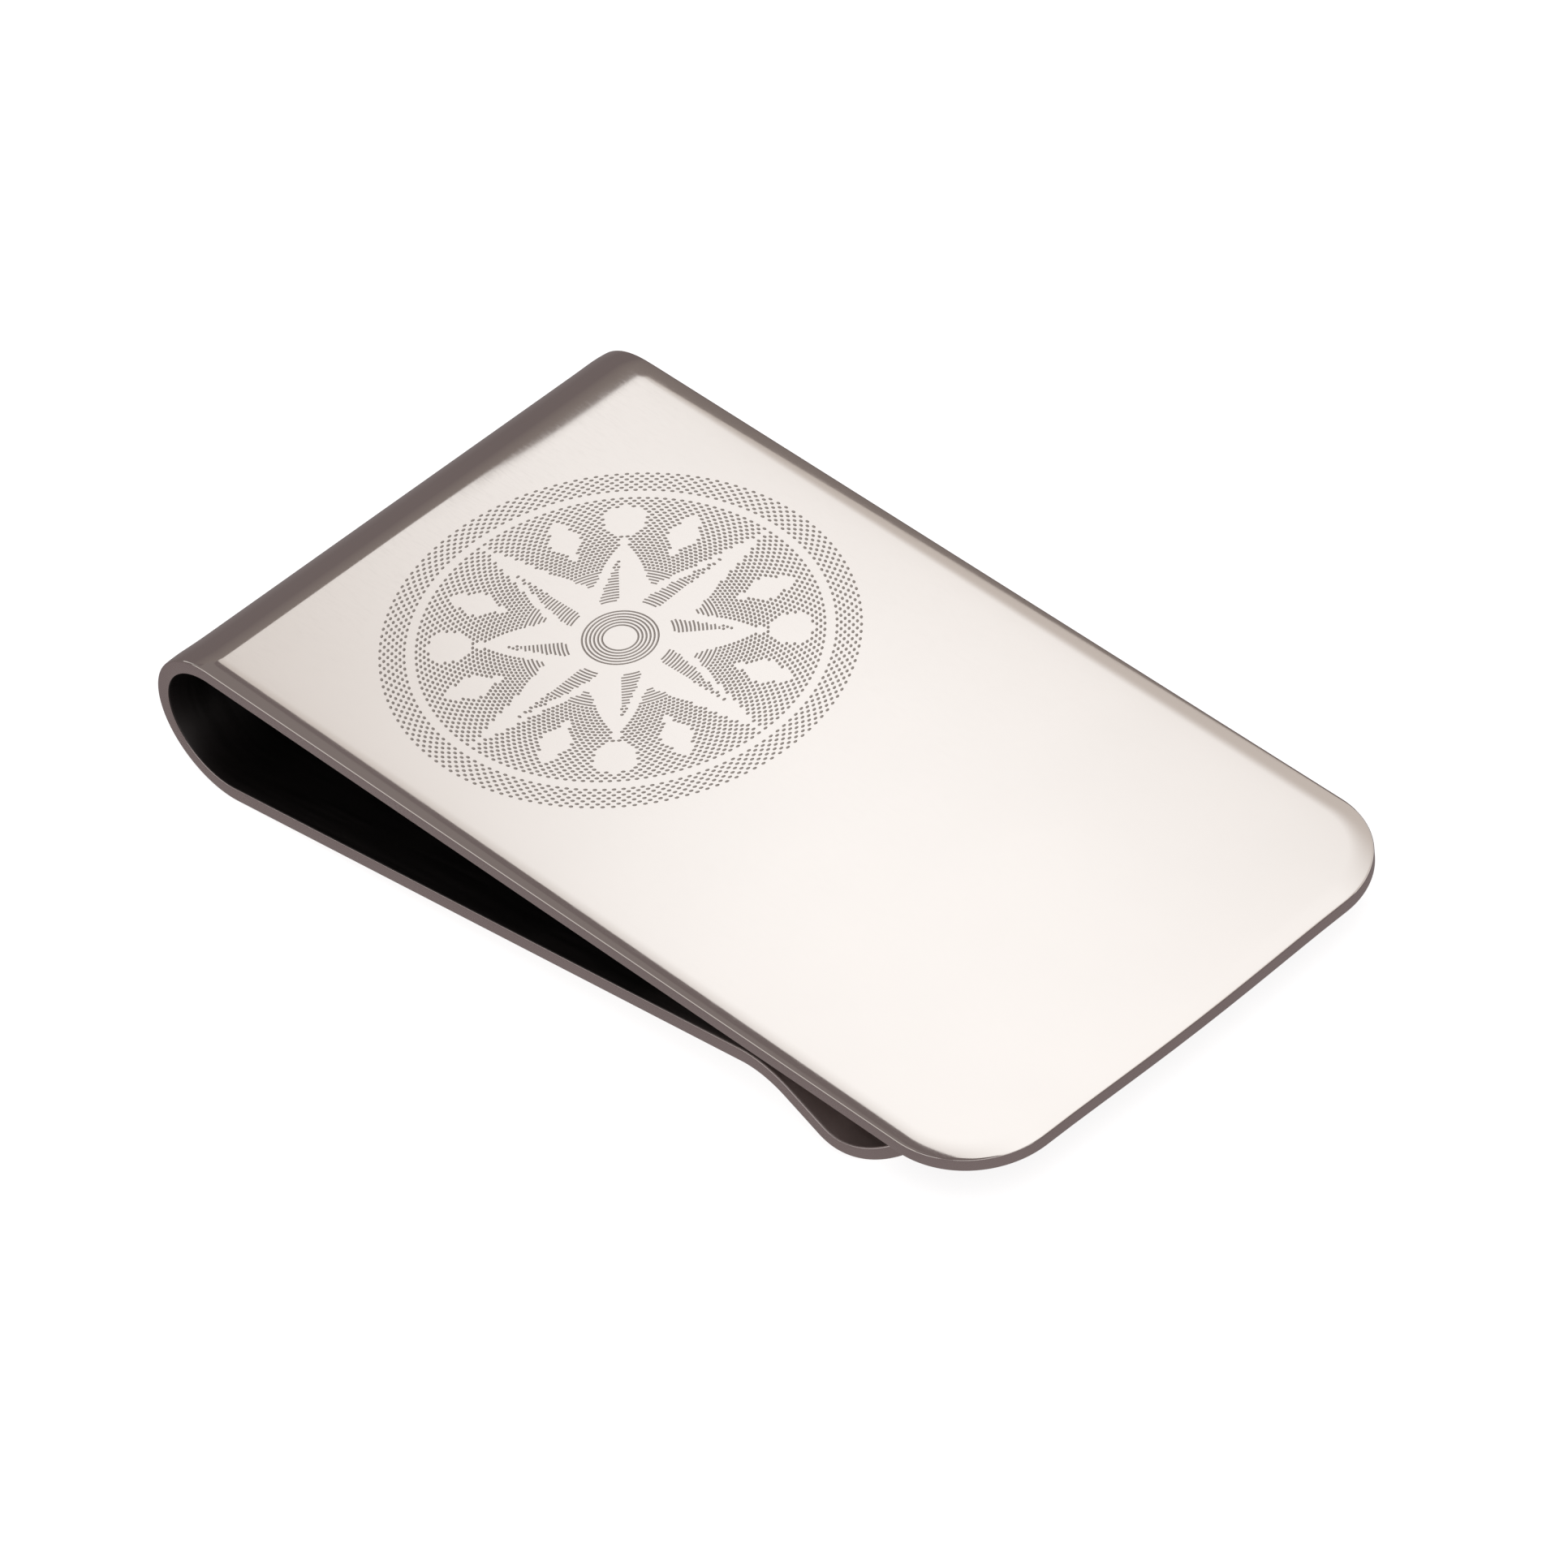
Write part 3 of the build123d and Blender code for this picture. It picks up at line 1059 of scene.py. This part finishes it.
def build_camera(studio):
    """The camera looks at a point of the plate from the set distance, azimuth and elevation, and
    is rolled about its line of sight."""
    target = from_plate(studio.target_along, studio.target_across, 0)
    level = cos(studio.elevation)
    back = (Vector(ALONG) * sin(studio.azimuth) * level
            - Vector(ACROSS) * cos(studio.azimuth) * level
            + Vector(NORMAL) * sin(studio.elevation))
    forward = -back
    right = forward.cross(Vector(NORMAL)).normalized()
    down = forward.cross(right)
    right = right * cos(studio.roll) + down * sin(studio.roll)
    data = bpy.data.cameras.new("Camera")
    data.lens = studio.lens
    data.sensor_width = 36
    data.clip_start, data.clip_end = 0.01, 20
    camera = new_object("Camera", data)
    turn = Matrix((right, back.cross(right), back)).transposed().to_4x4()
    camera.matrix_world = Matrix.Translation(target + back * studio.distance) @ turn
    bpy.context.scene.camera = camera


ROOM_DIM = (0.172, 0.148, 0.150)        # the room's darkest tone, which the bend mirrors


def build_floor():
    """A wide pale floor under the clip. It gives a little light of its own, which keeps the
    clip's shadow faint, and it stays out of the metal's reflections."""
    material, nodes = new_material("Pale floor")
    mottle = nodes.noise(nodes.stretched(1, 1, 1), 4.0)
    tint = nodes.ramp(mottle, *MIDDLING, (0.55,) * 3, (0.57,) * 3)
    paper = nodes.add("ShaderNodeBsdfPrincipled", Base_Color=tint, Roughness=0.9,
                      Emission_Color=(1, 1, 1, 1), Emission_Strength=0.86)
    nodes.add("ShaderNodeOutputMaterial", Surface=paper.outputs[0])
    reach = 4.0
    corners = [(-reach, -reach, 0), (reach, -reach, 0), (reach, reach, 0), (-reach, reach, 0)]
    floor = flat_face("Floor", corners, material)
    floor.location.z = -0.02 * MM
    floor.visible_glossy = False


def build_softbox(studio):
    """The big softbox hangs level with the plate on its far side, so that the plate mirrors it
    and the bend and the near edge's roll look past its borders. A narrow wing widens its far
    left side."""
    left, right, back = studio.softbox_left, studio.softbox_right, studio.softbox_back
    slant = np.tan(studio.softbox_slant)
    wing, wing_root, wing_front = 45 * MM, 250 * MM, 399 * MM
    card("Softbox", [
        from_plate(along, across, studio.card_height) for along, across in (
            (left, studio.softbox_front - slant * left),
            (right, studio.softbox_front - slant * right),
            (right, back), (left - wing, back), (left - wing, wing_front), (left, wing_root))],
        softbox_glow(studio))


def build_dim_cards(studio):
    """A dim wall that runs down from the softbox's left side, for the bend to mirror, and a fill
    on the near side, which is brighter below, for the rolled edge."""
    left, top = studio.softbox_left, studio.card_height
    front, back = 100 * MM, studio.softbox_back
    wall_gap, wall_reach, wall_drop = 2 * MM, 300 * MM, 100 * MM
    material, nodes = new_material("Dim wall glow")
    along, across = plate_coordinates(nodes)
    nodes.glow(nodes.ramp(along, left - 200 * MM, left, ROOM_DIM, (0.24, 0.215, 0.205)))
    card("Dim_Wall", [
        from_plate(left - wall_gap, front, top), from_plate(left - wall_gap, back, top),
        from_plate(left - wall_reach, back, top - wall_drop),
        from_plate(left - wall_reach, front, top - wall_drop)], material)

    material, nodes = new_material("Near fill glow")
    nodes.glow(nodes.ramp(nodes.coordinate(2), 175 * MM, 200 * MM, (0.62, 0.61, 0.6),
                          (0.225, 0.2025, 0.2)))
    fill_top, fill_foot, fill_near = 280 * MM, 50 * MM, -410 * MM
    card("Near_Fill", [
        from_plate(-300 * MM, 137 * MM, fill_top), from_plate(-50 * MM, 3 * MM, fill_top),
        from_plate(0.0, fill_near, fill_foot), from_plate(-450 * MM, fill_near, fill_foot)],
        material)


WINDOW_DISTANCE = 700 * MM
# name, direction and half width in degrees, lower and upper height in metres
WINDOWS = (
    ("Right_Window", -25, 38, -0.04, 0.45),
    ("Far_Window", 78, 36, 0.0, 0.45),
    ("Near_Window", -93, 18, 0.0, 0.45),
    ("Left_Window", 180, 11, 0.2, 0.7),
)


def build_windows():
    """Broad upright cards round the clip, which light the metal when it is seen from its other
    sides. They fade towards their foot and their top."""
    material, nodes = new_material("Window glow")
    height = nodes.coordinate(2)
    lower = nodes.ramp(height, -0.1, 0.12, 0.25, 1.0)
    upper = nodes.ramp(height, 0.25, 0.5, 1.0, 0.35)
    nodes.glow(nodes.ramp(nodes.math("MULTIPLY", lower, upper), 0.0, 1.0, (0, 0, 0), (0.8,) * 3))
    for name, heading, half_angle, low, high in WINDOWS:
        middle = WINDOW_DISTANCE * Vector((cos(radians(heading)), sin(radians(heading)), 0))
        side = Vector((-middle.y, middle.x, 0)) * float(np.tan(radians(half_angle)))
        foot, top = Vector((0, 0, low)), Vector((0, 0, high))
        card(name, [middle - side + foot, middle + side + foot, middle + side + top,
                    middle - side + top], material)


def floor_lamp(position, size, power):
    """A soft square lamp aimed at the clip. It lights the floor and stays out of reflections."""
    data = bpy.data.lights.new("Floor_Lamp", "AREA")
    data.size = size
    data.energy = power
    lamp = new_object("Floor_Lamp", data)
    lamp.location = position
    lamp.rotation_mode = "QUATERNION"
    lamp.rotation_quaternion = (-Vector(position)).to_track_quat("-Z", "Y")
    lamp.visible_glossy = False


def build_room(scene):
    """The dim room round the studio, a little lighter below."""
    world = bpy.data.worlds.new("Dim room")
    world.use_nodes = True
    nodes = Nodes(world.node_tree)
    upward = nodes.coordinate(2, "Generated")
    tint = nodes.ramp(upward, -0.75, 0.05, (0.245, 0.22, 0.22), ROOM_DIM)
    room = nodes.add("ShaderNodeBackground", Color=tint, Strength=1.0)
    nodes.add("ShaderNodeOutputWorld", Surface=room.outputs[0])
    scene.world = world
    scene.view_settings.view_transform = "Standard"


class MONEYCLIP_OT_stage(bpy.types.Operator):
    """Set up the camera, the pale floor, the light cards and the dim room"""

    bl_idname = "money_clip.stage"
    bl_label = "Studio"

    def execute(self, context):
        studio = settings().studio
        build_camera(studio)
        build_floor()
        build_softbox(studio)
        build_dim_cards(studio)
        build_windows()
        floor_lamp((0.5, -0.3, 1.2), 1.2, 7)
        build_room(context.scene)
        return {"FINISHED"}


# ---- the add-on ----


class ClipSettings(bpy.types.PropertyGroup):
    """All of the clip's settings."""

    strip: bpy.props.PointerProperty(
        type=StripSizes, name="Strip", description="Sizes of the folded strip")
    etching: bpy.props.PointerProperty(
        type=EtchingSizes, name="Etching", description="Sizes of the etched disc")
    finish: bpy.props.PointerProperty(
        type=FinishColours, name="Finish", description="Colours of the metal")
    studio: bpy.props.PointerProperty(
        type=StudioSettings, name="Studio", description="Camera and light")


class MONEYCLIP_PT_sidebar(bpy.types.Panel):
    """Lists the clip's settings and the steps that build it"""

    bl_idname = "MONEYCLIP_PT_sidebar"
    bl_label = "Money clip"
    bl_space_type = "VIEW_3D"
    bl_region_type = "UI"
    bl_category = "Money clip"

    def draw(self, context):
        clip = settings()
        for title, group in (("Strip", clip.strip), ("Etched disc", clip.etching),
                             ("Finish", clip.finish), ("Studio", clip.studio)):
            box = self.layout.box()
            box.label(text=title)
            for name in group.__annotations__:
                box.prop(group, name)
        for step in STEPS:
            self.layout.operator(step.bl_idname)


STEPS = (MONEYCLIP_OT_stage, MONEYCLIP_OT_face_plate, MONEYCLIP_OT_bend, MONEYCLIP_OT_leg)
CLASSES = (StripSizes, EtchingSizes, FinishColours, StudioSettings, ClipSettings, *STEPS,
           MONEYCLIP_PT_sidebar)


def register():
    """Registers the classes and the scene's settings."""
    for kind in CLASSES:
        bpy.utils.register_class(kind)
    bpy.types.Scene.money_clip = bpy.props.PointerProperty(type=ClipSettings)


def unregister():
    """Takes the settings and classes away again."""
    del bpy.types.Scene.money_clip
    for kind in reversed(CLASSES):
        bpy.utils.unregister_class(kind)


def main():
    register()
    for step in STEPS:
        group, name = step.bl_idname.split(".")
        getattr(getattr(bpy.ops, group), name)()
    bpy.context.view_layer.update()


if __name__ == "__main__":
    main()
